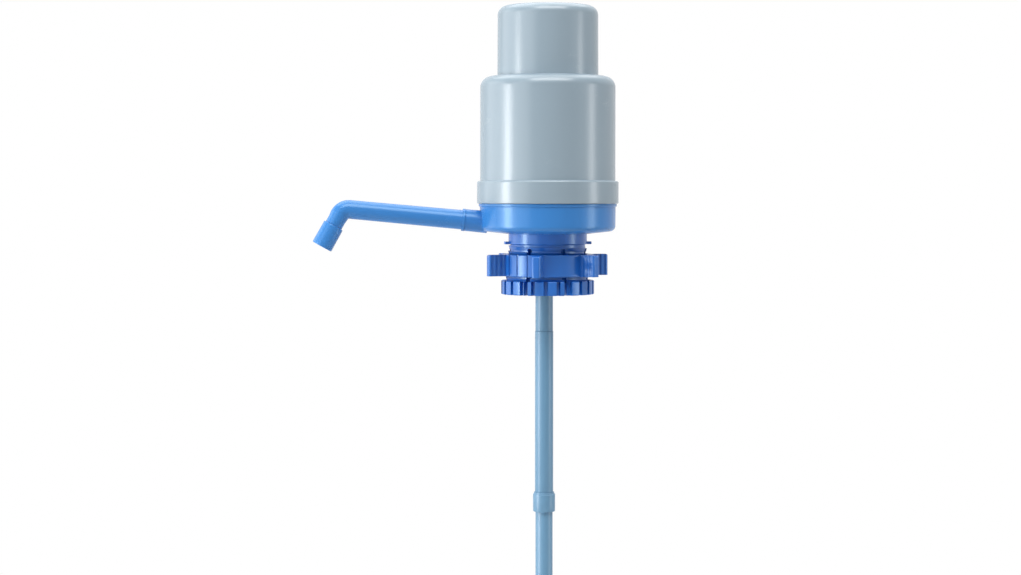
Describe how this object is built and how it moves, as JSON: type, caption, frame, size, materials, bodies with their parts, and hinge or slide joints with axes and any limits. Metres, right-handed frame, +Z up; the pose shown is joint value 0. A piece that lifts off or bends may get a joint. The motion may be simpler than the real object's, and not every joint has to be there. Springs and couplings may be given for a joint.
{
  "type": "water jug hand pump",
  "caption": "Hand pump for a water jug: a push cap over a bellows, a cup with a turned-down spout, a split clamping collet with a finned nut and a jointed dip tube.",
  "frame": {"origin": "centre of the collet's mouth, where the neck of the bottle goes in, on the pump's axis", "axes": "+Z up along the pump's axis towards the push cap, -X towards the spout"},
  "size_m": [0.2632, 0.1222, 0.6937],
  "materials": {
    "grey_plastic": "satin",
    "sky_plastic": "gloss",
    "royal_plastic": "gloss",
    "tube_plastic": "gloss",
    "white_plastic": "matte",
    "black_rubber": "matte",
    "clear_rubber": "matte",
    "spring_steel": "bright",
    "screw_steel": "satin"
  },
  "bodies": {
    "pump_base": {"outer_housing": "grey_plastic", "base_cup": "sky_plastic", "valve_deck": "white_plastic", "deck_seal": "black_rubber", "bellows_clamp_ring": "white_plastic", "deck_screws": "screw_steel", "bellows": "black_rubber", "return_spring": "spring_steel", "neck_collet": "royal_plastic", "collet_screws": "screw_steel", "neck_gasket": "black_rubber", "riser_pipe": "tube_plastic", "riser_seal": "black_rubber", "upper_dip_tube": "tube_plastic", "tube_coupler": "tube_plastic", "lower_dip_tube": "tube_plastic"},
    "cap": {"push_cap": "grey_plastic", "bellows_plate": "white_plastic", "plate_screws": "screw_steel"},
    "inlet_flap": {"inlet_valve": "clear_rubber"},
    "check_flap": {"check_valve": "clear_rubber"},
    "spout": {"spout_tube": "sky_plastic", "spout_o_ring": "black_rubber", "spout_nozzle": "sky_plastic"},
    "nut": {"clamp_nut": "royal_plastic"}
  },
  "joints": [
    {"name": "cap_press", "type": "slide", "parent": "pump_base", "child": "cap", "axis": [0, 0, -1], "range_m": [0, 0.05], "stiffness_N_per_m": 250, "springref_m": -0.03, "deforming": ["bellows", "return_spring"]},
    {"name": "inlet_lift", "type": "slide", "parent": "cap", "child": "inlet_flap", "axis": [0, 0, -1], "range_m": [0, 0.0012], "stiffness_N_per_m": 60, "springref_m": -0.001},
    {"name": "check_lift", "type": "slide", "parent": "pump_base", "child": "check_flap", "axis": [0, 0, -1], "range_m": [0, 0.0012], "stiffness_N_per_m": 60, "springref_m": -0.001},
    {"name": "spout_turn", "type": "hinge", "parent": "pump_base", "child": "spout", "pos_m": [-0.0743, 0, 0.0642], "axis": [-0.9957, 0, 0.0924], "continuous": true},
    {"name": "nut_turn", "type": "hinge", "parent": "pump_base", "child": "nut", "pos_m": [0, 0, 0.0245], "axis": [0, 0, 1], "range_deg": [0, 360]}
  ]
}
